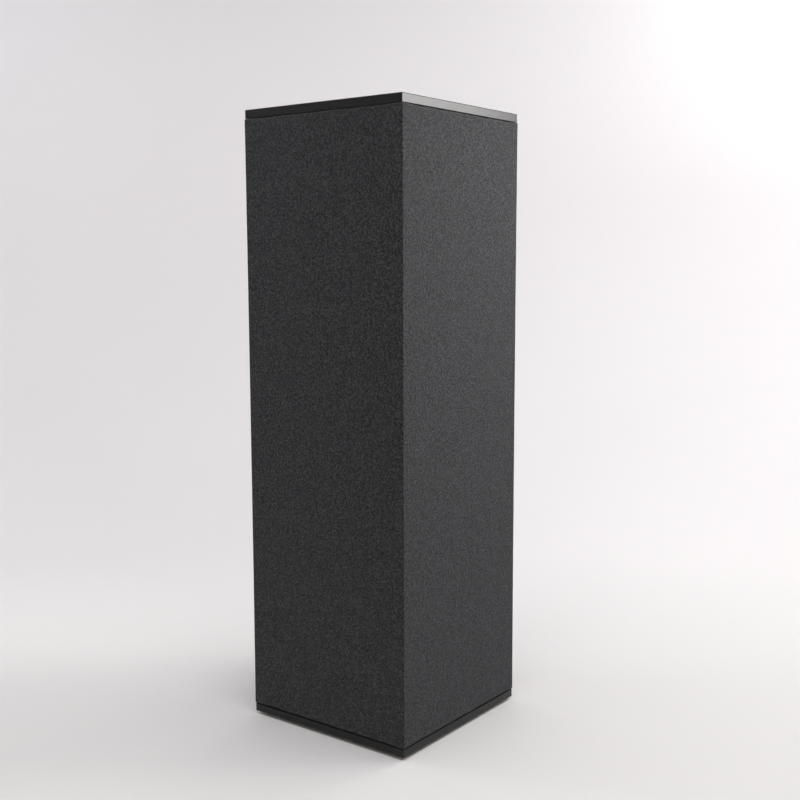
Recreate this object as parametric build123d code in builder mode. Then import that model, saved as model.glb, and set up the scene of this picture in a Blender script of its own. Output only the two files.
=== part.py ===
from build123d import *
import os

# A free-standing display plinth. A square carcass of wall panels on corner posts is wrapped in
# one sheet of wool felt and stands between two black laminated boards, each held off the felt
# by a recessed spacer. Four screw-in levelling glides carry it.
#
# Frame: +Z up, the origin on the floor under the centre. The front faces -Y, the right side +X.
# Sizes are in millimetres.

# Overall sizes
plinth_side = 350.0        # width and depth of the top and base boards
plinth_height = 1116.0     # floor to display surface, with the glides screwed in
floor_gap = 6.0            # floor to the base board's underside, with the glides screwed in

# Laminated boards at the top and the base
board_thickness = 15.0     # in all, with both laminates
laminate_thickness = 0.8
edge_band_thickness = 1.0
board_arris = 0.4          # easing of the boards' outer edges

# Shadow gaps between the boards and the felt
shadow_gap = 3.0           # height, which is also the spacers' thickness
shadow_depth = 8.0         # how far the spacers stand back from the felt's face

# Carcass
wall_thickness = 12.0
wall_arris = 0.5           # easing of the walls' upright corners, under the felt
post_side = 30.0
rail_thickness = 20.0
rail_height = 45.0
sub_top_thickness = 12.0

# Felt wrap
felt_thickness = 2.5
felt_roll = 2.2            # rounding where the felt turns over the walls' ends
seam_gap = 0.3             # butt seam where the wrap's two ends meet, on the back
seam_inset = 22.0          # seam to the back's left corner

# Staples that hold the felt's turned-in ends
staple_wire = 0.9
staple_crown = 10.0
staple_leg = 8.0
staple_inset = 11.0        # felt face to staple, so that the spacers cover them
staple_margin = 36.5       # walls' inner corner to the last staple's middle
staples_per_side = 5

# Countersunk screws
base_screw_length = 50.0
base_screw_radius = 2.5
base_screw_head = 4.8
top_screw_cover = 4.2      # core left above the points of the screws that hold the top board
top_screw_radius = 2.0
top_screw_head = 3.9
top_screw_offset = 100.0   # plinth's centre lines to the screws that hold the top board
post_screw_length = 40.0   # through the sub-top into the posts' ends
wall_screw_length = 30.0
wall_screw_radius = 1.75
wall_screw_head = 3.4
wall_screw_rows = 4
screw_margin = 14.0        # wood left between the ends of screws that meet in a post
screw_stagger = 20.0       # height between the rows of neighbouring walls
recess_width = 1.2         # cross recess, as a share of the head's radius
recess_slot = 0.35         # its slots' width, as a share of the head's radius
recess_depth = 0.5         # its depth, as a share of the head's radius

# Levelling glides
glide_spacing = 8.5        # posts' inner faces to the glide's axis
thread_radius = 4.0        # M8, drawn as a plain cylinder
thread_clearance = 0.05    # radial, between the stem and its insert
stem_length = 28.0         # threaded length above the hexagon
stem_chamfer = 0.8
hexagon_radius = 7.0       # to its corners
button_radius = 6.0        # flange under the pad's web, which holds the pad on the stem
button_thickness = 1.0
button_clearance = 0.3     # radial, round the button
neck_radius = 3.0
neck_clearance = 0.08      # radial, between the stem's neck and the pad
swivel_clearance = 0.1     # axial, on each side of the pad's web
pad_radius = 14.0
pad_thickness = 2.7
pad_chamfer = 0.6
disc_inset = 1.0           # pad's edge to the non-slip disc glued under it
disc_thickness = 1.0
lift_clearance = 0.5       # hexagon to base board, with the glide screwed in
insert_length = 13.0
insert_barrel_radius = 6.0
insert_flange_radius = 9.0
insert_flange_thickness = 1.5
stem_hole_clearance = 1.0  # radial, above the insert, in the core, the laminate and the spacer

# Heights
base_bottom = floor_gap
base_top = base_bottom + board_thickness
felt_bottom = base_top + shadow_gap
top_bottom = plinth_height - board_thickness
felt_top = top_bottom - shadow_gap
wall_bottom = felt_bottom + felt_thickness
wall_top = felt_top - felt_thickness
sub_top_bottom = felt_top - sub_top_thickness
middle = (felt_bottom + felt_top) / 2
top_screw_length = plinth_height - laminate_thickness - top_screw_cover - sub_top_bottom
pad_top = disc_thickness + pad_thickness
hexagon_bottom = pad_top + swivel_clearance
hexagon_top = base_bottom - lift_clearance
button_bottom = disc_thickness + swivel_clearance
button_top = button_bottom + button_thickness
web_bottom = button_top + swivel_clearance

# Widths and centre lines
wall_outer = plinth_side - 2 * felt_thickness
wall_inner = wall_outer - 2 * wall_thickness
rail_length = wall_inner - 2 * post_side
post_offset = (wall_inner - post_side) / 2
rail_offset = (wall_inner - rail_thickness) / 2
glide_offset = wall_inner / 2 - post_side - glide_spacing
staple_offset = plinth_side / 2 - staple_inset
staple_pitch = (wall_inner - 2 * staple_margin) / (staples_per_side - 1)
seam_offset = plinth_side / 2 - seam_inset

# The rows of wall screws keep clear of the screws in the posts' two ends
lowest_row = base_bottom + base_screw_length + screw_margin + screw_stagger
highest_row = felt_top - post_screw_length - screw_margin
row_pitch = (highest_row - lowest_row) / (wall_screw_rows - 1)

# The angle about Z that turns the front into each side
sides = {"front": 0, "right": 90, "back": 180, "left": 270}
# The signs of each corner's X and Y
corners = {
    "front_left": (-1, -1),
    "front_right": (1, -1),
    "back_left": (-1, 1),
    "back_right": (1, 1),
}

os.makedirs("parts", exist_ok=True)


def save(piece, name):
    """Label a finished sub-part and write it to its own file."""
    piece.part.label = name
    export_step(piece.part, f"parts/{name}.step")


def at_corners(offset):
    """The four points that far from the plinth's centre lines."""
    return [(x * offset, y * offset) for x, y in corners.values()]


def side_plane(angle, distance):
    """An upright plane on one side: local x runs along the side, local y is the height."""
    outward = Vector(0, -1, 0).rotate(Axis.Z, angle)
    along = Vector(1, 0, 0).rotate(Axis.Z, angle)
    return Plane(origin=outward * distance, x_dir=along, z_dir=outward)


def facing_up(height):
    """A level plane that faces up."""
    return Plane.XY.offset(height)


def facing_down(height):
    """A level plane that faces the floor."""
    return Plane(origin=(0, 0, height), x_dir=(1, 0, 0), z_dir=(0, 0, -1))


def turned(outline):
    """A solid turned about Z from half its outline, given as radius and height."""
    with BuildPart() as solid:
        with BuildSketch(Plane.XZ):
            with BuildLine():
                Polyline(*outline, close=True)
            make_face()
        revolve(axis=Axis.Z)
    return solid


def level_slab(side, bottom, top, *holes):
    """A square slab on the plinth's axis, less the shapes of what passes through it."""
    with BuildPart() as slab:
        with BuildSketch(facing_up(bottom)):
            Rectangle(side, side)
        extrude(amount=top - bottom)
        for hole in holes:
            add(hole.part, mode=Mode.SUBTRACT)
    return slab


def side_slab(angle, distance, width, thickness, bottom, top, *holes, eased=0.0):
    """An upright slab on one side, from a distance inwards, with its outer uprights eased."""
    plane = side_plane(angle, distance)
    with BuildPart() as slab:
        with BuildSketch(plane):
            with Locations((0, (bottom + top) / 2)):
                Rectangle(width, top - bottom)
        extrude(amount=-thickness)
        if eased:
            uprights = slab.edges().filter_by(Axis.Z)
            fillet(uprights.group_by(Axis((0, 0, 0), plane.z_dir))[-1], radius=eased)
        for hole in holes:
            add(hole.part, mode=Mode.SUBTRACT)
    return slab


# Screws and staples


def screw_blank(length, radius, head_radius):
    """A countersunk screw without its recess: the head's flat on XY, the point down."""
    return turned([
        (0, 0),
        (head_radius, 0),
        (radius, radius - head_radius),
        (radius, radius - length),
        (0, -length),
    ])


def screw(blank, head_radius):
    """A countersunk screw with a cross recess in its head."""
    with BuildPart() as recessed:
        add(blank.part)
        with BuildSketch():
            Rectangle(recess_width * head_radius, recess_slot * head_radius)
            Rectangle(recess_slot * head_radius, recess_width * head_radius)
        extrude(amount=-recess_depth * head_radius, mode=Mode.SUBTRACT)
    return recessed


def placed(piece, patterns):
    """One group of a sub-part's copies, at the points of each plane's pattern."""
    with BuildPart() as group:
        for plane, points in patterns:
            with Locations(plane):
                with Locations(*points):
                    add(piece.part)
    return group


base_pattern = [(
    facing_down(base_bottom),
    at_corners(post_offset)
    + [(0, rail_offset), (0, -rail_offset), (rail_offset, 0), (-rail_offset, 0)],
)]
top_pattern = [(facing_down(sub_top_bottom), at_corners(top_screw_offset))]
post_pattern = [(facing_up(felt_top), at_corners(post_offset))]
wall_pattern = []
for angle in sides.values():
    drop = screw_stagger if angle in (sides["left"], sides["right"]) else 0
    rows = [lowest_row + row_pitch * row - drop for row in range(wall_screw_rows)]
    wall_pattern.append((
        side_plane(angle, wall_outer / 2),
        [(x, row) for row in rows for x in (-post_offset, post_offset)],
    ))

base_blank = screw_blank(base_screw_length, base_screw_radius, base_screw_head)
top_blank = screw_blank(top_screw_length, top_screw_radius, top_screw_head)
post_blank = screw_blank(post_screw_length, top_screw_radius, top_screw_head)
wall_blank = screw_blank(wall_screw_length, wall_screw_radius, wall_screw_head)

save(placed(screw(base_blank, base_screw_head), base_pattern), "base_screws")
save(placed(screw(top_blank, top_screw_head), top_pattern), "top_screws")
save(placed(screw(post_blank, top_screw_head), post_pattern), "post_screws")
save(placed(screw(wall_blank, wall_screw_head), wall_pattern), "wall_screws")

base_holes = placed(base_blank, base_pattern)
top_holes = placed(top_blank, top_pattern)
post_holes = placed(post_blank, post_pattern)
wall_holes = placed(wall_blank, wall_pattern)

with BuildPart() as staple:
    with BuildSketch(Plane.YZ.offset(-staple_wire / 2)):
        with Locations((0, -staple_leg / 2)):
            Rectangle(staple_crown, staple_leg)
        with Locations((0, -staple_wire - staple_leg / 2)):
            Rectangle(staple_crown - 2 * staple_wire, staple_leg, mode=Mode.SUBTRACT)
    extrude(amount=staple_wire)

with BuildPart() as felt_staples:
    for plane in (facing_up(felt_top), facing_down(felt_bottom)):
        with Locations(plane):
            with PolarLocations(staple_offset, len(sides)):
                with GridLocations(0, staple_pitch, 1, staples_per_side):
                    add(staple.part)
save(felt_staples, "felt_staples")

# Levelling glides: a threaded stem turns in the insert and swivels in its pad

flange_top = base_bottom + insert_flange_thickness
insert_top = base_bottom + insert_length
stem_top = hexagon_top + stem_length
insert_bore = thread_radius + thread_clearance
stem_hole_radius = thread_radius + stem_hole_clearance

insert_holes = placed(
    turned([
        (0, base_bottom),
        (insert_flange_radius, base_bottom),
        (insert_flange_radius, flange_top),
        (insert_barrel_radius, flange_top),
        (insert_barrel_radius, insert_top),
        (stem_hole_radius, insert_top),
        (stem_hole_radius, felt_bottom),
        (0, felt_bottom),
    ]),
    [(facing_up(0), at_corners(glide_offset))],
)
insert = turned([
    (insert_bore, base_bottom),
    (insert_flange_radius, base_bottom),
    (insert_flange_radius, flange_top),
    (insert_barrel_radius, flange_top),
    (insert_barrel_radius, insert_top),
    (insert_bore, insert_top),
])
save(placed(insert, [(facing_up(0), at_corners(glide_offset))]), "glide_inserts")

for corner, (x, y) in corners.items():
    axis = (x * glide_offset, y * glide_offset)

    with BuildPart() as glide_stem:
        with BuildSketch(facing_up(button_bottom)):
            with Locations(axis):
                Circle(button_radius)
        extrude(amount=button_thickness)
        with BuildSketch(facing_up(button_top)):
            with Locations(axis):
                Circle(neck_radius)
        extrude(amount=hexagon_bottom - button_top)
        with BuildSketch(facing_up(hexagon_bottom)):
            with Locations(axis):
                RegularPolygon(hexagon_radius, 6)
        extrude(amount=hexagon_top - hexagon_bottom)
        with BuildSketch(facing_up(hexagon_top)):
            with Locations(axis):
                Circle(thread_radius)
        extrude(amount=stem_top - hexagon_top)
        chamfer(glide_stem.edges().group_by(Axis.Z)[-1], length=stem_chamfer)
    save(glide_stem, f"glide_stem_{corner}")

    with BuildPart() as glide_pad:
        with BuildSketch(facing_up(disc_thickness)):
            with Locations(axis):
                Circle(pad_radius)
        extrude(amount=pad_thickness)
        rim = glide_pad.edges().filter_by(GeomType.CIRCLE).group_by(Axis.Z)[-1]
        chamfer(rim, length=pad_chamfer)
        with BuildSketch(facing_up(disc_thickness)):
            with Locations(axis):
                Circle(button_radius + button_clearance)
        extrude(amount=web_bottom - disc_thickness, mode=Mode.SUBTRACT)
        with BuildSketch(facing_up(web_bottom)):
            with Locations(axis):
                Circle(neck_radius + neck_clearance)
        extrude(amount=pad_top - web_bottom, mode=Mode.SUBTRACT)
    save(glide_pad, f"glide_pad_{corner}")

    with BuildPart() as glide_disc:
        with BuildSketch():
            with Locations(axis):
                Circle(pad_radius - disc_inset)
        extrude(amount=disc_thickness)
    save(glide_disc, f"glide_disc_{corner}")

# Laminated boards, each with a core, two laminates and four edge bands


def laminated_board(name, bottom, *holes):
    """Make the seven pieces of a board whose underside is at the height given."""
    top = bottom + board_thickness
    core_side = plinth_side - 2 * edge_band_thickness
    core_bottom = bottom + laminate_thickness
    core_top = top - laminate_thickness

    with BuildPart() as laminate:
        with BuildSketch(facing_up(core_top)):
            Rectangle(plinth_side, plinth_side)
        extrude(amount=laminate_thickness)
        chamfer(laminate.edges().group_by(Axis.Z)[-1], length=board_arris)
        for hole in holes:
            add(hole.part, mode=Mode.SUBTRACT)
    save(laminate, f"{name}_laminate")
    save(level_slab(core_side, core_bottom, core_top, *holes), f"{name}_core")
    save(level_slab(core_side, bottom, core_bottom, *holes), f"{name}_backer")

    for side, angle in sides.items():
        full = side in ("front", "back")
        width = plinth_side if full else core_side
        distance = plinth_side / 2
        band = side_slab(
            angle, distance, width, edge_band_thickness, bottom, core_top,
            eased=board_arris if full else 0.0,
        )
        save(band, f"{name}_edge_{side}")


laminated_board("base", base_bottom, base_holes, insert_holes)
laminated_board("top", top_bottom, top_holes)

spacer_side = plinth_side - 2 * shadow_depth
save(level_slab(spacer_side, base_top, felt_bottom, base_holes, insert_holes), "base_spacer")
save(level_slab(spacer_side, felt_top, top_bottom, top_holes), "top_spacer")

# Carcass

for side, angle in sides.items():
    full = side in ("front", "back")
    wall = side_slab(
        angle,
        wall_outer / 2,
        wall_outer if full else wall_inner,
        wall_thickness,
        wall_bottom,
        wall_top,
        wall_holes,
        felt_staples,
        eased=wall_arris if full else 0.0,
    )
    save(wall, f"wall_{side}")
    rail = [angle, wall_inner / 2, rail_length, rail_thickness]
    save(side_slab(*rail, felt_bottom, felt_bottom + rail_height, base_holes), f"base_rail_{side}")
    rail_bottom = middle - rail_height / 2
    save(side_slab(*rail, rail_bottom, rail_bottom + rail_height), f"middle_rail_{side}")

for corner, (x, y) in corners.items():
    with BuildPart() as post:
        with BuildSketch(facing_up(felt_bottom)):
            with Locations((x * post_offset, y * post_offset)):
                Rectangle(post_side, post_side)
        extrude(amount=sub_top_bottom - felt_bottom)
        for hole in (wall_holes, base_holes, post_holes):
            add(hole.part, mode=Mode.SUBTRACT)
    save(post, f"post_{corner}")

save(level_slab(wall_inner, sub_top_bottom, felt_top, post_holes, top_holes), "sub_top")

# Felt wrap: one sheet round the walls, turned in over both ends

with BuildPart() as felt_cover:
    with BuildSketch(facing_up(felt_bottom)):
        RectangleRounded(plinth_side, plinth_side, felt_thickness + wall_arris)
    extrude(amount=felt_top - felt_bottom)
    ends = felt_cover.edges().group_by(Axis.Z)
    fillet(ends[0] + ends[-1], radius=felt_roll)
    with BuildSketch(facing_up(wall_bottom)):
        RectangleRounded(wall_outer, wall_outer, wall_arris)
    extrude(amount=wall_top - wall_bottom, mode=Mode.SUBTRACT)
    with BuildSketch(facing_up(felt_bottom)):
        Rectangle(wall_inner, wall_inner)
        with Locations((-seam_offset, (plinth_side + wall_inner) / 4)):
            Rectangle(seam_gap, (plinth_side - wall_inner) / 2)
    extrude(amount=felt_top - felt_bottom, mode=Mode.SUBTRACT)
    add(felt_staples.part, mode=Mode.SUBTRACT)
save(felt_cover, "felt_cover")
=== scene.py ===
import math

import bmesh
import bpy
from mathutils import Matrix, Vector, noise


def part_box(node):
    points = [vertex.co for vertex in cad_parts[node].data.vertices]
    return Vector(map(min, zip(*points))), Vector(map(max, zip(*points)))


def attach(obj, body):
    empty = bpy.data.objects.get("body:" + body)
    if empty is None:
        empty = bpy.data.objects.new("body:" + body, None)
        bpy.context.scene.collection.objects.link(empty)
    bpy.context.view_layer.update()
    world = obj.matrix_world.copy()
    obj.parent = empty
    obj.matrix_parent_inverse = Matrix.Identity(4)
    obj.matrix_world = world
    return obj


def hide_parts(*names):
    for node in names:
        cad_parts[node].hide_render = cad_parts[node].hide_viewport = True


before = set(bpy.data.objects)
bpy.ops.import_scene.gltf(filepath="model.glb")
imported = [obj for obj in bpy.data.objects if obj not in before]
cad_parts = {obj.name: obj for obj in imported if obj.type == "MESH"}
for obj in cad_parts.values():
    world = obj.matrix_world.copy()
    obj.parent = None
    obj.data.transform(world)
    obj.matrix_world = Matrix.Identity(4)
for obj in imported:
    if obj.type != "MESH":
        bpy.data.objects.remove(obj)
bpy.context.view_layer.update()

# A display plinth in a studio: a felt-wrapped box between two black laminated boards.
# Everything is in metres, in the frame's own axes: +Z up, the front faces -Y.

mm = 0.001
plinth = "plinth"
sides = {"front": (0, -1), "right": (1, 0), "back": (0, 1), "left": (-1, 0)}
corners = ("front_left", "front_right", "back_left", "back_right")


# ------------------------------------------------------------------ camera

camera_place = Vector((1.2847, -1.6438, 0.8462))
camera_heading = math.radians(-37.22)      # from +Y, clockwise
camera_dip = math.radians(6.93)
camera_roll = math.radians(0.16)
camera_lens = 50.83
camera_sensor = 36.0
camera_reach = 60.0


def set_camera():
    """A camera in front of the plinth, a little to its right and below its top."""
    ahead = Vector((
        math.sin(camera_heading) * math.cos(camera_dip),
        math.cos(camera_heading) * math.cos(camera_dip),
        -math.sin(camera_dip),
    ))
    across = Vector((math.cos(camera_heading), -math.sin(camera_heading), 0.0))
    turned = Matrix.Rotation(camera_roll, 3, ahead)
    right, up = turned @ across, turned @ across.cross(ahead)
    data = bpy.data.cameras.new("camera")
    data.lens, data.sensor_width, data.clip_end = camera_lens, camera_sensor, camera_reach
    camera = bpy.data.objects.new("camera", data)
    camera.matrix_world = Matrix.Translation(camera_place) @ Matrix(
        (right, up, -ahead)).transposed().to_4x4()
    bpy.context.scene.collection.objects.link(camera)
    bpy.context.scene.camera = camera


set_camera()


# ------------------------------------------------------------------ finishes


class Number:
    """A value that changes over a surface. Arithmetic on it adds Math nodes."""

    def __init__(self, finish, socket):
        self.finish, self.socket = finish, socket

    def math(self, operation, first, second):
        made = self.finish.node("ShaderNodeMath", {"operation": operation}, {0: first, 1: second})
        return Number(self.finish, made.outputs[0])

    def __add__(self, other):
        return self.math("ADD", self, other)

    def __radd__(self, other):
        return self.math("ADD", other, self)

    def __sub__(self, other):
        return self.math("SUBTRACT", self, other)

    def __rsub__(self, other):
        return self.math("SUBTRACT", other, self)

    def __mul__(self, other):
        return self.math("MULTIPLY", self, other)

    def __rmul__(self, other):
        return self.math("MULTIPLY", other, self)

    def __truediv__(self, other):
        return self.math("DIVIDE", self, other)

    def __pow__(self, other):
        return self.math("POWER", self, other)

    def between(self, low, high):
        """0 at low, 1 at high, and smooth in between."""
        made = self.finish.node(
            "ShaderNodeMapRange",
            {"interpolation_type": "SMOOTHSTEP"},
            {"Value": self, "From Min": low, "From Max": high},
        )
        return Number(self.finish, made.outputs["Result"])


class Tree:
    """A node tree, and the one way that nodes are added to it."""

    def __init__(self, tree):
        self.nodes, self.links = tree.nodes, tree.links

    def node(self, kind, settings=None, sockets=None):
        """A new node: its settings first, then the values or links of its sockets."""
        made = self.nodes.new(kind)
        for name, value in (settings or {}).items():
            setattr(made, name, value)
        for name, value in (sockets or {}).items():
            self.feed(made.inputs[name], value)
        return made

    def feed(self, socket, value):
        """Give a socket a changing value, a link or a constant."""
        if isinstance(value, Number):
            self.links.new(value.socket, socket)
        elif isinstance(value, bpy.types.NodeSocket):
            self.links.new(value, socket)
        else:
            socket.default_value = value


class Finish(Tree):
    """A procedural material: one Principled shader and the nodes that drive it."""

    def __init__(self, name, **constants):
        self.material = bpy.data.materials.new(name)
        self.material.use_nodes = True
        super().__init__(self.material.node_tree)
        self.shader = self.nodes["Principled BSDF"]
        for socket, value in constants.items():
            self.feed(self.shader.inputs[socket.replace("_", " ")], value)
        self.place = self.node("ShaderNodeTexCoord").outputs["Object"]

    def noise(self, size, turn=(0, 0, 0), detail=2.0, rough=0.5, bend=0.0, shift=(0, 0, 0)):
        """Noise whose features are that size, in metres along three turned axes."""
        size = size if isinstance(size, tuple) else (size, size, size)
        mapped = self.node(
            "ShaderNodeMapping",
            {"vector_type": "TEXTURE"},
            {"Vector": self.place, "Location": shift, "Rotation": turn, "Scale": size},
        )
        made = self.node("ShaderNodeTexNoise", None, {
            "Vector": mapped.outputs[0], "Scale": 1.0, "Detail": detail,
            "Roughness": rough, "Distortion": bend,
        })
        return Number(self, made.outputs[0])

    def mix(self, share, first, second):
        """A colour between two others."""
        made = self.node("ShaderNodeMix", {"data_type": "RGBA"})
        self.feed(made.inputs[0], share)
        for socket, colour in ((made.inputs[6], first), (made.inputs[7], second)):
            self.feed(socket, (*colour, 1.0) if isinstance(colour, tuple) else colour)
        return made.outputs[2]

    def bump(self, height, depth, after=None):
        """A bump whose full height is the depth, in metres."""
        sockets = {"Height": height, "Distance": depth, "Strength": 1.0}
        if after is not None:
            sockets["Normal"] = after
        return self.node("ShaderNodeBump", None, sockets).outputs[0]

    def finish(self, colour, roughness=None, normal=None):
        """Wires up what changes over the surface, and gives the material."""
        self.feed(self.shader.inputs["Base Color"], colour)
        if roughness is not None:
            self.feed(self.shader.inputs["Roughness"], roughness)
        if normal is not None:
            self.feed(self.shader.inputs["Normal"], normal)
        return self.material


def charcoal_felt():
    """Carded wool felt: charcoal with paler fibres, no weave."""
    felt = Finish(
        "charcoal_felt", Roughness=1.0, Sheen_Weight=0.22, Sheen_Roughness=0.5,
        Sheen_Tint=(0.85, 0.86, 0.9, 1.0), Specular_IOR_Level=0.1,
    )
    length, width = 6 * mm, 0.7 * mm
    turns = ((0.5, 0.7, 0.2), (-0.6, 0.9, 1.1), (1.3, -0.5, -0.8), (0.1, -1.2, 2.0))
    layers = [
        felt.noise((length, width, width), turn, detail=1.0, shift=(0.01 * i, 0.03, 0.05))
        for i, turn in enumerate(turns)
    ]
    pale = layers[0].between(0.55, 0.72) + layers[1].between(0.56, 0.74)
    dark = layers[2].between(0.54, 0.74) + layers[3].between(0.55, 0.75)
    tufts = felt.noise(3.8 * mm, detail=3.0, rough=0.7).between(0.42, 0.74)
    pills = felt.noise(2.0 * mm, detail=2.0, rough=0.7).between(0.42, 0.74)
    cloud = felt.noise(45 * mm, detail=2.0)
    tone = tufts * 0.85 + pills * 0.75 + pale * 0.3 - dark * 0.12 + cloud * 0.1 - 0.04
    ground, fleck = (0.0018, 0.0018, 0.0020), (0.070, 0.070, 0.072)
    colour = felt.mix(tone, ground, fleck)
    coarse = felt.bump(tufts, 0.5 * mm)
    fine = felt.bump(pills * 0.5 + pale * 0.5 - dark * 0.3, 0.4 * mm, coarse)
    return felt.finish(colour, normal=fine)


def black_laminate():
    """High-pressure laminate: black, matt, with a fine pebble."""
    sheet = Finish("black_laminate", Specular_IOR_Level=0.5)
    pebble = sheet.noise(0.7 * mm, detail=2.0, rough=0.6)
    wipes = sheet.noise((0.16, 0.05, 0.05), (0, 0, 0.6), detail=3.0, rough=0.6, bend=0.5)
    tone = sheet.mix(wipes.between(0.3, 0.75), (0.016, 0.016, 0.017), (0.022, 0.022, 0.023))
    rough = 0.40 + wipes * 0.14 + pebble * 0.06
    return sheet.finish(tone, rough, sheet.bump(pebble, 0.05 * mm))


def balancing_sheet():
    """The plain phenolic sheet that keeps a laminated board flat, on its unseen face."""
    sheet = Finish("balancing_sheet", Specular_IOR_Level=0.4)
    fibres = sheet.noise((9 * mm, 3 * mm, 3 * mm), (0, 0, 0.9), detail=4.0, rough=0.65)
    sanded = sheet.noise((0.12, 0.7 * mm, 0.7 * mm), detail=2.0)
    tone = sheet.mix(
        fibres.between(0.3, 0.7) * 0.7 + sanded * 0.3, (0.24, 0.22, 0.19), (0.36, 0.33, 0.29))
    return sheet.finish(tone, 0.5 + sanded * 0.2, sheet.bump(sanded, 0.04 * mm))


def laminate_edge():
    """The laminate's machined edge: a dull dark line."""
    edge = Finish("laminate_edge", Specular_IOR_Level=0.1)
    grain = edge.noise((0.006, 0.006, 0.2 * mm), detail=2.0)
    return edge.finish(
        edge.mix(grain, (0.010, 0.010, 0.010), (0.022, 0.021, 0.020)),
        0.8 + grain * 0.15,
        edge.bump(grain, 0.05 * mm),
    )


def black_edge_band():
    """Extruded edge band: black, satin, with the faint ripple of trimming."""
    band = Finish("black_edge_band", Specular_IOR_Level=0.34, IOR=1.46)
    ripple = band.noise(60 * mm, detail=1.0)
    grain = band.noise((0.05, 0.05, 0.3 * mm), detail=2.0)
    scuffs = band.noise((0.012, 0.012, 0.5 * mm), (0.05, 0.0, 0.0), detail=3.0, rough=0.7)
    worn = scuffs.between(0.62, 0.78)
    tone = band.mix(worn * 0.5 + grain * 0.3, (0.007, 0.007, 0.008), (0.018, 0.018, 0.020))
    rough = 0.17 + grain * 0.06 + worn * 0.08
    wave = band.bump(ripple, 0.25 * mm)
    return band.finish(tone, rough, band.bump(grain, 0.01 * mm, wave))


def pressed_board(name, pale, deep, flake):
    """Fibreboard: fine, mottled, slightly hairy."""
    board = Finish(name, Specular_IOR_Level=0.3)
    fibres = board.noise((flake, flake * 0.3, flake * 0.3), (0.3, 0.4, 0.8), detail=4.0, rough=0.65)
    mottle = board.noise(18 * mm, detail=3.0)
    tone = board.mix(fibres.between(0.35, 0.68) * 0.7 + mottle * 0.4, deep, pale)
    return board.finish(tone, 0.78 + fibres * 0.14, board.bump(fibres, 0.12 * mm))


def planed_pine(name, along):
    """Planed softwood with its grain along one axis, 0 for X, 1 for Y or 2 for Z."""
    wood = Finish(name, Specular_IOR_Level=0.35)
    ring, pore = [5.0 * mm] * 3, [0.7 * mm] * 3
    ring[along], pore[along] = 0.35, 0.03
    rings = wood.noise(tuple(ring), detail=2.0, rough=0.5, bend=0.6)
    pores = wood.noise(tuple(pore), detail=3.0, rough=0.6)
    growth = rings * 9.0
    late = growth.math("FRACT", growth, 0.0).between(0.35, 0.95)
    tone = wood.mix(late * 0.75 + pores * 0.3, (0.62, 0.42, 0.22), (0.36, 0.19, 0.08))
    return wood.finish(tone, 0.5 + pores * 0.2, wood.bump(pores + late * 0.5, 0.08 * mm))


def stained_spacer():
    """Thin fibreboard, stained black so that the gap reads as a shadow."""
    board = Finish("black_stained_board", Specular_IOR_Level=0.25)
    fibres = board.noise((3 * mm, 1 * mm, 0.4 * mm), detail=3.0, rough=0.65)
    tone = board.mix(fibres.between(0.3, 0.75), (0.022, 0.021, 0.020), (0.05, 0.047, 0.044))
    return board.finish(tone, 0.74 + fibres * 0.16, board.bump(fibres, 0.1 * mm))


def zinc_steel(name, size, tint):
    """Bright zinc plating: a fine crystalline mottle and a few dull marks."""
    metal = Finish(name, Metallic=1.0)
    spangle = metal.noise(size, detail=3.0, rough=0.6, bend=0.3)
    marks = metal.noise(size * 5, detail=2.0)
    dull = tuple(channel * 0.62 for channel in tint)
    tone = metal.mix(spangle.between(0.35, 0.7) * 0.7 + marks * 0.3, dull, tint)
    rough = 0.24 + spangle * 0.14 + marks.between(0.5, 0.75) * 0.12
    return metal.finish(tone, rough, metal.bump(spangle, 0.015 * mm))


def moulded_nylon():
    """Injection-moulded nylon with a spark-eroded grain."""
    nylon = Finish("black_nylon", Specular_IOR_Level=0.5)
    grain = nylon.noise(0.35 * mm, detail=2.0, rough=0.6)
    flow = nylon.noise((9 * mm, 9 * mm, 2 * mm), detail=2.0, bend=1.0)
    tone = nylon.mix(flow, (0.018, 0.018, 0.018), (0.034, 0.034, 0.033))
    return nylon.finish(tone, 0.42 + grain * 0.16, nylon.bump(grain, 0.03 * mm))


def grip_rubber():
    """Soft rubber disc with a dusty bloom."""
    rubber = Finish("grip_rubber", Specular_IOR_Level=0.3)
    grain = rubber.noise(0.5 * mm, detail=3.0, rough=0.7)
    dust = rubber.noise(4 * mm, detail=3.0, rough=0.6).between(0.45, 0.75)
    tone = rubber.mix(dust * 0.6 + grain * 0.2, (0.03, 0.03, 0.03), (0.11, 0.105, 0.10))
    return rubber.finish(tone, 0.78 + dust * 0.15, rubber.bump(grain, 0.06 * mm))


felt_finish = charcoal_felt()
laminate_finish = black_laminate()
balancing_finish = balancing_sheet()
laminate_edge_finish = laminate_edge()
edge_band_finish = black_edge_band()
core_finish = pressed_board("board_core", (0.30, 0.21, 0.13), (0.15, 0.10, 0.06), 2.5 * mm)
panel_finish = pressed_board("wall_panel", (0.44, 0.33, 0.21), (0.27, 0.19, 0.12), 1.6 * mm)
pine_finish = [planed_pine(f"pine_{axis}", i) for i, axis in enumerate(("x", "y", "z"))]
spacer_finish = stained_spacer()
zinc_finish = zinc_steel("zinc_steel", 0.8 * mm, (0.66, 0.66, 0.64))
wire_finish = zinc_steel("staple_wire", 0.4 * mm, (0.60, 0.61, 0.62))
nylon_finish = moulded_nylon()
rubber_finish = grip_rubber()


# ------------------------------------------------------------------ making pieces


def piece(name, bm, finishes, body, replaced):
    """A finished mesh as a piece that rides on a body and stands for its CAD nodes."""
    mesh = bpy.data.meshes.new(name)
    bm.to_mesh(mesh)
    bm.free()
    for finish in finishes:
        mesh.materials.append(finish)
    made = bpy.data.objects.new(name, mesh)
    bpy.context.scene.collection.objects.link(made)
    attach(made, body)
    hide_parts(*replaced)
    return made


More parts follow.
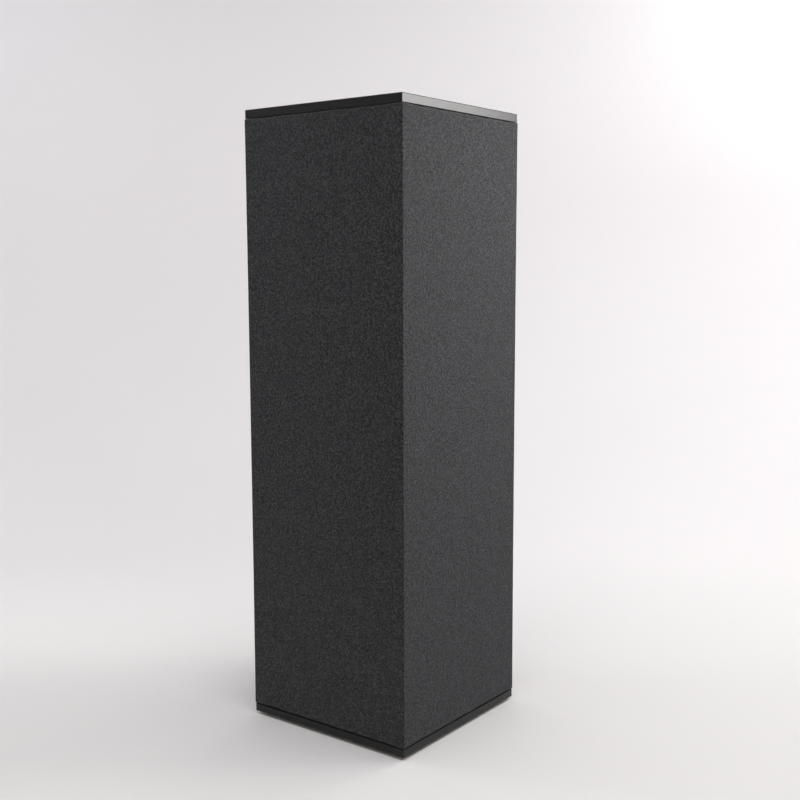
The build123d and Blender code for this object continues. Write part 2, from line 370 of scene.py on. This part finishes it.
def block(low, high):
    """A box between two corners."""
    bm = bmesh.new()
    bmesh.ops.create_cube(bm, size=1.0)
    bmesh.ops.scale(bm, vec=high - low, verts=bm.verts)
    bmesh.ops.translate(bm, vec=(low + high) / 2, verts=bm.verts)
    bm.normal_update()
    return bm


def round_over(bm, edges, radius, steps):
    """Round the edges given, or with one step trim them to a flat bevel."""
    made = bmesh.ops.bevel(
        bm, geom=edges, offset=radius, offset_type="OFFSET", segments=steps, profile=0.5,
        affect="EDGES", clamp_overlap=False, material=-1,
    )
    bm.normal_update()
    return made


def lies_at(edge, axis, value, near=0.01 * mm):
    """Do both ends of an edge lie at that value of an axis?"""
    return all(abs(v.co[axis] - value) < near for v in edge.verts)


def is_level(face, least=0.9):
    """Does a face look up or down?"""
    return abs(face.normal.z) > least


# ------------------------------------------------------------------ laminated boards

arris = 0.4 * mm
board_corner = 0.7 * mm
rounding_steps = 3
sheet_inset = 0.5 * mm
sheet_bevel = 0.6 * mm


def edge_band(board, side):
    """An edge band: rounded at the board's corners and below, trimmed to a bevel above."""
    node = f"{board}_edge_{side}"
    low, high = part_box(node)
    across = 1 if side in ("front", "back") else 0
    outward = Vector((*sides[side], 0))
    least = -0.1 if across == 1 else 0.1  # a front or back band's two ends show as well
    bm = block(low, high)

    def outer_edges(place):
        """The level edges at that height on the faces that show."""
        return [
            e for e in bm.edges
            if lies_at(e, 2, place)
            and any(not is_level(f) and f.normal.dot(outward) > least for f in e.link_faces)
        ]

    if across == 1:  # the front and back bands cover the ends of the others
        face_place = low.y if side == "front" else high.y
        uprights = [
            e for e in bm.edges
            if lies_at(e, 1, face_place) and not lies_at(e, 2, low.z) and not lies_at(e, 2, high.z)
        ]
        round_over(bm, uprights, board_corner, rounding_steps)
    round_over(bm, outer_edges(low.z), arris, rounding_steps)
    trimmed = round_over(bm, outer_edges(high.z), arris, 1)
    for face in trimmed["faces"]:
        face.material_index = 1
    return piece(
        f"{node}_band", bm, [edge_band_finish, laminate_edge_finish], plinth, [node])


def top_sheet(board):
    """A laminate over the edge bands: a dark machined bevel round a fine-grained face."""
    node = f"{board}_laminate"
    low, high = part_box(node)
    inset = Vector((sheet_inset, sheet_inset, 0))
    bm = block(low + inset, high - inset)
    round_over(bm, [e for e in bm.edges if lies_at(e, 2, high.z)], sheet_bevel, 1)
    for face in bm.faces:
        face.material_index = 0 if is_level(face) else 1
    return piece(
        f"{node}_sheet", bm, [laminate_finish, laminate_edge_finish], plinth, [node])


for board in ("top", "base"):
    top_sheet(board)
    for side in sides:
        edge_band(board, side)


# ------------------------------------------------------------------ felt wrap

felt_low, felt_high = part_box("felt_cover")
wall_low, front_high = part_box("wall_front")
wall_high = Vector((-wall_low.x, -wall_low.y, front_high.z))
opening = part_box("sub_top")[1].x
puff_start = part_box("top_spacer")[1].x + 0.5 * mm
felt_proud = 0.6 * mm         # how far its face stands out past the boards
felt_flare = 0.55 * mm        # and how much more it does at its two ends
felt_corner = 1.8 * mm
felt_roll = 1.8 * mm          # how it turns over at its two ends
inner_corner = 0.5 * mm
felt_puff = 1.6 * mm          # how far it springs up beside the spacer that presses it
puff_width = 3 * mm
puff_height = 8 * mm          # how far down from an end the puff fades out
corner_puff = 0.8 * mm        # and how much more where it is folded over at a corner
corner_reach = 10 * mm
staple_dip = 0.5 * mm
staple_pitch = 62 * mm
felt_step = 12 * mm           # spacing of the mesh over the felt's faces
felt_margin = 1.2 * mm        # from a rounded edge to the line that keeps its shading off the face
felt_waves = ((70 * mm, 0.10 * mm), (22 * mm, 0.05 * mm))  # lengths and heights of its unevenness
same_place = 1e-6
level_enough = 0.999
seam_place = felt_low.x + 22 * mm
seam_width, seam_depth = 0.5 * mm, 0.7 * mm


def score(bm, faces, axis, place):
    """Cut a line across some faces, where an axis has a value."""
    normal = Vector((0, 0, 0))
    normal[axis] = 1.0
    geometry = faces + list(dict.fromkeys(e for f in faces for e in f.edges))
    geometry += list(dict.fromkeys(v for f in faces for v in f.verts))
    bmesh.ops.bisect_plane(bm, geom=geometry, dist=1e-7, plane_co=normal * place, plane_no=normal)


def felt_shell(low, high, corner, corner_steps, roll=0.0, step=0.0):
    """A rounded box, open inside its turned-in ends; a step divides its faces."""
    bm = block(low, high)
    size = high - low
    if step:
        upright = [e for e in bm.edges if abs(e.verts[0].co.z - e.verts[1].co.z) > size.z / 2]
        bmesh.ops.subdivide_edges(
            bm, edges=upright, cuts=round(size.z / step), use_grid_fill=True)
        level = [e for e in bm.edges if abs(e.verts[0].co.z - e.verts[1].co.z) < same_place]
        bmesh.ops.subdivide_edges(bm, edges=level, cuts=round(size.x / step), use_grid_fill=True)
    posts = [
        e for e in bm.edges
        if (lies_at(e, 0, low.x) or lies_at(e, 0, high.x))
        and (lies_at(e, 1, low.y) or lies_at(e, 1, high.y))
    ]
    round_over(bm, posts, corner, corner_steps)
    if roll:
        rims = [
            e for e in bm.edges
            if (lies_at(e, 2, low.z) or lies_at(e, 2, high.z))
            and any(abs(f.normal.z) < 0.5 for f in e.link_faces)
        ]
        round_over(bm, rims, roll, 5)
    for axis in (0, 1):
        for place in (-puff_start, -opening, opening, puff_start):
            score(bm, [f for f in bm.faces if is_level(f, level_enough)], axis, place)
    if step:  # lines beside the rounded edges keep the shading of the flat faces flat
        for axis, past in enumerate((corner, corner, roll)):
            for place in (low[axis] + past + felt_margin, high[axis] - past - felt_margin):
                score(bm, bm.faces[:], axis, place)
    inside = [
        f for f in bm.faces
        if is_level(f, level_enough)
        and max(abs(x) for x in f.calc_center_median().xy) < opening
    ]
    bmesh.ops.delete(bm, geom=inside, context="FACES")
    return bm


def cut_seam(bm):
    """A shallow groove up the back, where the wrap's two ends meet."""
    for aside in (-3 * seam_width, -seam_width, 0, seam_width, 3 * seam_width):
        back = [f for f in bm.faces if f.calc_center_median().y > opening]
        score(bm, back, 0, seam_place + aside)
    bm.normal_update()
    for vert in bm.verts:
        if abs(vert.co.x - seam_place) < same_place and vert.co.y > opening + 1 * mm:
            vert.co -= vert.normal * seam_depth


def settle(bm):
    """The felt's slight unevenness, and its ends puffed past the spacer between the staples."""
    bm.normal_update()
    moves = {}
    middle = (felt_low.z + felt_high.z) / 2
    for vert in bm.verts:
        place = vert.co
        uneven = sum(noise.noise(place / length) * height for length, height in felt_waves)
        moves[vert] = vert.normal * uneven
        reach = max(abs(place.x), abs(place.y))
        along = place.y if abs(place.x) > abs(place.y) else place.x
        pull = 0.5 + 0.5 * math.cos(2 * math.pi * along / staple_pitch)
        from_end = min(place.z - felt_low.z, felt_high.z - place.z)
        fade = max(0.0, 1 - from_end / puff_height)
        rise = min(1.0, max(0.0, (reach - puff_start) / puff_width))
        outward = -1 if place.z < middle else 1
        past_opening = min(abs(place.x), abs(place.y)) - opening
        near_corner = min(1.0, max(0.0, past_opening / corner_reach))
        puff = felt_puff - staple_dip * pull * (1 - near_corner) + corner_puff * near_corner
        moves[vert] += Vector((0, 0, outward * rise * fade * puff))
        height = 2 * (place.z - felt_low.z) / (felt_high.z - felt_low.z) - 1
        proud = felt_proud + felt_flare * abs(height) ** 3
        for axis in (0, 1):
            past = (abs(place[axis]) - opening) / (felt_high[axis] - opening)
            moves[vert][axis] += math.copysign(proud * max(0.0, past), place[axis])
    for vert, move in moves.items():
        vert.co += move


def felt_wrap():
    """One sheet of felt: an outer face and an inner face, joined at its turned-in ends."""
    outer = felt_shell(
        felt_low, felt_high, felt_corner, corner_steps=6, roll=felt_roll, step=felt_step)
    cut_seam(outer)
    settle(outer)
    inner = felt_shell(wall_low, wall_high, inner_corner, corner_steps=2)
    shell = bpy.data.meshes.new("inner_felt")
    inner.to_mesh(shell)
    inner.free()
    outer.from_mesh(shell)
    bpy.data.meshes.remove(shell)
    for end in (felt_low.z, felt_high.z):
        ends = [
            e for e in outer.edges
            if e.is_boundary and abs(e.verts[0].co.z - end) < 20 * mm
        ]
        bmesh.ops.bridge_loops(outer, edges=ends)
    bmesh.ops.recalc_face_normals(outer, faces=outer.faces)
    for face in outer.faces:
        face.smooth = True
    wrap = piece("felt_wrap", outer, [felt_finish], plinth, ["felt_cover"])
    return wrap


felt_wrap()


# ------------------------------------------------------------------ glides

thread_pitch = 1.25 * mm
thread_depth = 0.68 * mm
thread_steps = 20             # to each turn
stem_radius = 4.0 * mm
core_radius = stem_radius - thread_depth
neck_radius = 3.0 * mm
hexagon_radius = 7.0 * mm
button_radius = 6.0 * mm
button_height = 1.0 * mm
lap = 0.2 * mm                # how far a stem's lengths run into each other


def glide_stem(corner):
    """A stem with a helical thread above its hexagon, and a button below it."""
    node = f"glide_stem_{corner}"
    low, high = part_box(node)
    pad_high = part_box(f"glide_pad_{corner}")[1].z
    axis = Vector(((low.x + high.x) / 2, (low.y + high.y) / 2, 0))
    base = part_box("base_backer")[0].z
    hexagon = (pad_high + 0.1 * mm, base - 0.5 * mm)
    button = (low.z, low.z + button_height)
    bm = bmesh.new()

    def post(radius, bottom, top, segments, eased):
        """An upright bar with eased rims."""
        middle = axis + Vector((0, 0, (bottom + top) / 2))
        made = bmesh.ops.create_cone(
            bm, cap_ends=True, cap_tris=False, segments=segments, radius1=radius, radius2=radius,
            depth=top - bottom, matrix=Matrix.Translation(middle),
        )
        rims = dict.fromkeys(
            e for v in made["verts"] for e in v.link_edges if lies_at(e, 2, e.verts[0].co.z))
        if eased:
            round_over(bm, list(rims), eased, 2)

    post(button_radius, *button, 40, 0.15 * mm)
    post(neck_radius, button[1] - lap, hexagon[0] + lap, 32, 0)
    post(hexagon_radius, *hexagon, 6, 0.2 * mm)
    post(core_radius, hexagon[1] - lap, high.z, 32, 0.5 * mm)

    # the thread's ridge: a small flat-topped section carried up a helix
    foot = hexagon[1] + 0.6 * mm
    turns = math.floor((high.z - 1.6 * mm - foot) / thread_pitch)
    root = core_radius - 0.05 * mm
    section = [
        (root, -0.46 * thread_pitch),
        (stem_radius, -0.06 * thread_pitch),
        (stem_radius, 0.06 * thread_pitch),
        (root, 0.46 * thread_pitch),
    ]
    ring = [bm.verts.new(axis + Vector((x, 0, foot + z))) for x, z in section]
    edges = [bm.edges.new((ring[i], ring[(i + 1) % 4])) for i in range(4)]
    bm.faces.new(ring)
    spun = bmesh.ops.spin(
        bm, geom=edges, cent=axis, axis=(0, 0, 1), angle=2 * math.pi * turns,
        steps=thread_steps * turns, dvec=(0, 0, thread_pitch / thread_steps),
    )
    last = [v for v in spun["geom_last"] if isinstance(v, bmesh.types.BMVert)]
    bmesh.ops.contextual_create(bm, geom=last)
    bmesh.ops.recalc_face_normals(bm, faces=bm.faces)
    return piece(f"{node}_thread", bm, [zinc_finish], f"stem_{corner}", [node])


for corner in corners:
    glide_stem(corner)


# ------------------------------------------------------------------ finishes on CAD nodes


def coat(finish, *nodes):
    """Give CAD nodes a finish."""
    for node in nodes:
        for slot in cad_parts[node].material_slots:
            slot.link = "OBJECT"
            slot.material = finish


coat(balancing_finish, "top_backer", "base_backer")
coat(core_finish, "top_core", "base_core")
coat(spacer_finish, "top_spacer", "base_spacer")
coat(panel_finish, "sub_top", *(f"wall_{side}" for side in sides))
coat(pine_finish[2], *(f"post_{corner}" for corner in corners))
for side in sides:
    grain = 0 if side in ("front", "back") else 1
    coat(pine_finish[grain], f"base_rail_{side}", f"middle_rail_{side}")
coat(zinc_finish, "base_screws", "top_screws", "post_screws", "wall_screws", "glide_inserts")
coat(wire_finish, "felt_staples")
coat(nylon_finish, *(f"glide_pad_{corner}" for corner in corners))
coat(rubber_finish, *(f"glide_disc_{corner}" for corner in corners))


# ------------------------------------------------------------------ studio

cove_radius = 3.5
cove_ahead = -1.2              # its centre, from the plinth
cove_curve = 1.1
cove_height = 4.0
room_light = (0.88, 0.93, 1.0, 1.0)
room_strength = 0.06
pale_wall = (0.8, 0.79, 0.79, 1.0)


def spot(right, ahead, height):
    """A place in the studio, by the camera's heading."""
    across = Vector((math.cos(camera_heading), -math.sin(camera_heading), 0))
    along = Vector((math.sin(camera_heading), math.cos(camera_heading), 0))
    return across * right + along * ahead + Vector((0, 0, height))


def backdrop():
    """A pale cove all round: a floor that curves up into a wall."""
    bm = bmesh.new()
    foot = Vector((cove_radius - cove_curve, 0, 0))
    middle, edge = bm.verts.new((0, 0, 0)), bm.verts.new(foot)
    bm.edges.new((middle, edge))
    curve = bmesh.ops.spin(
        bm, geom=[edge], cent=foot + Vector((0, 0, cove_curve)), axis=(0, -1, 0),
        angle=math.pi / 2, steps=16,
    )
    wall = bmesh.ops.extrude_vert_indiv(
        bm, verts=[g for g in curve["geom_last"] if isinstance(g, bmesh.types.BMVert)])
    bmesh.ops.translate(bm, vec=(0, 0, cove_height - cove_curve), verts=wall["verts"])
    bmesh.ops.spin(
        bm, geom=bm.edges[:], cent=(0, 0, 0), axis=(0, 0, 1), angle=2 * math.pi, steps=96,
        use_merge=True,
    )
    bmesh.ops.remove_doubles(bm, verts=bm.verts, dist=1e-5)
    bmesh.ops.recalc_face_normals(bm, faces=bm.faces)
    bmesh.ops.translate(bm, vec=spot(0, cove_ahead, 0), verts=bm.verts)
    for face in bm.faces:
        face.smooth = True
    mesh = bpy.data.meshes.new("backdrop")
    bm.to_mesh(mesh)
    bm.free()
    paper = Finish("backdrop_paper", Specular_IOR_Level=0.2)
    soft = paper.noise(0.9, detail=1.0)
    mesh.materials.append(paper.finish(
        paper.mix(soft, (0.84, 0.81, 0.785), (0.87, 0.84, 0.815)), 0.62 + soft * 0.1))
    made = bpy.data.objects.new("backdrop", mesh)
    bpy.context.scene.collection.objects.link(made)


def softbox(name, place, aim, width, height, power, colour, spread=180):
    """A rectangular studio light aimed at a point; a grid on it narrows its spread."""
    data = bpy.data.lights.new(name, "AREA")
    data.shape, data.size, data.size_y = "RECTANGLE", width, height
    data.energy, data.color, data.spread = power, colour, math.radians(spread)
    light = bpy.data.objects.new(name, data)
    light.location = place
    light.rotation_mode = "QUATERNION"
    light.rotation_quaternion = (aim - place).to_track_quat("-Z", "Y")
    light.visible_camera = False
    bpy.context.scene.collection.objects.link(light)


def room():
    """A dim room behind the camera; where the camera looks straight at it, it is pale."""
    world = bpy.data.worlds.new("studio")
    world.use_nodes = True
    tree = Tree(world.node_tree)
    dim = tree.nodes["Background"]
    tree.feed(dim.inputs["Color"], room_light)
    tree.feed(dim.inputs["Strength"], room_strength)
    pale = tree.node("ShaderNodeBackground", None, {"Color": pale_wall})
    seen = tree.node("ShaderNodeLightPath")
    both = tree.node("ShaderNodeMixShader", None, {
        0: seen.outputs["Is Camera Ray"], 1: dim.outputs[0], 2: pale.outputs[0],
    })
    tree.feed(tree.nodes["World Output"].inputs["Surface"], both.outputs[0])
    bpy.context.scene.world = world


def studio():
    """The room, the cove and four lights."""
    bpy.context.scene.view_settings.view_transform = "Standard"
    room()
    backdrop()
    softbox(
        "ceiling", spot(0.4, -0.9, 2.6), spot(0.4, -0.9, 0), width=2.8, height=2.8,
        power=61, colour=(0.95, 0.975, 1.0))
    softbox(
        "key", spot(1.7, 0.18, 1.92), spot(0.1, 0.1, 1.42), width=0.9, height=1.5,
        power=7.6, colour=(1.0, 0.985, 0.97), spread=50)
    softbox(
        "backdrop_right", spot(1.75, 1.0, 2.2), spot(1.5, 2.3, 0.9), width=1.2, height=1.2,
        power=24.5, colour=(0.93, 0.94, 1.0))
    softbox(
        "backdrop_left", spot(-1.8, 0.5, 2.3), spot(-0.7, 2.3, 1.4), width=1.2, height=1.2,
        power=14.5, colour=(0.8, 0.84, 1.0))


studio()
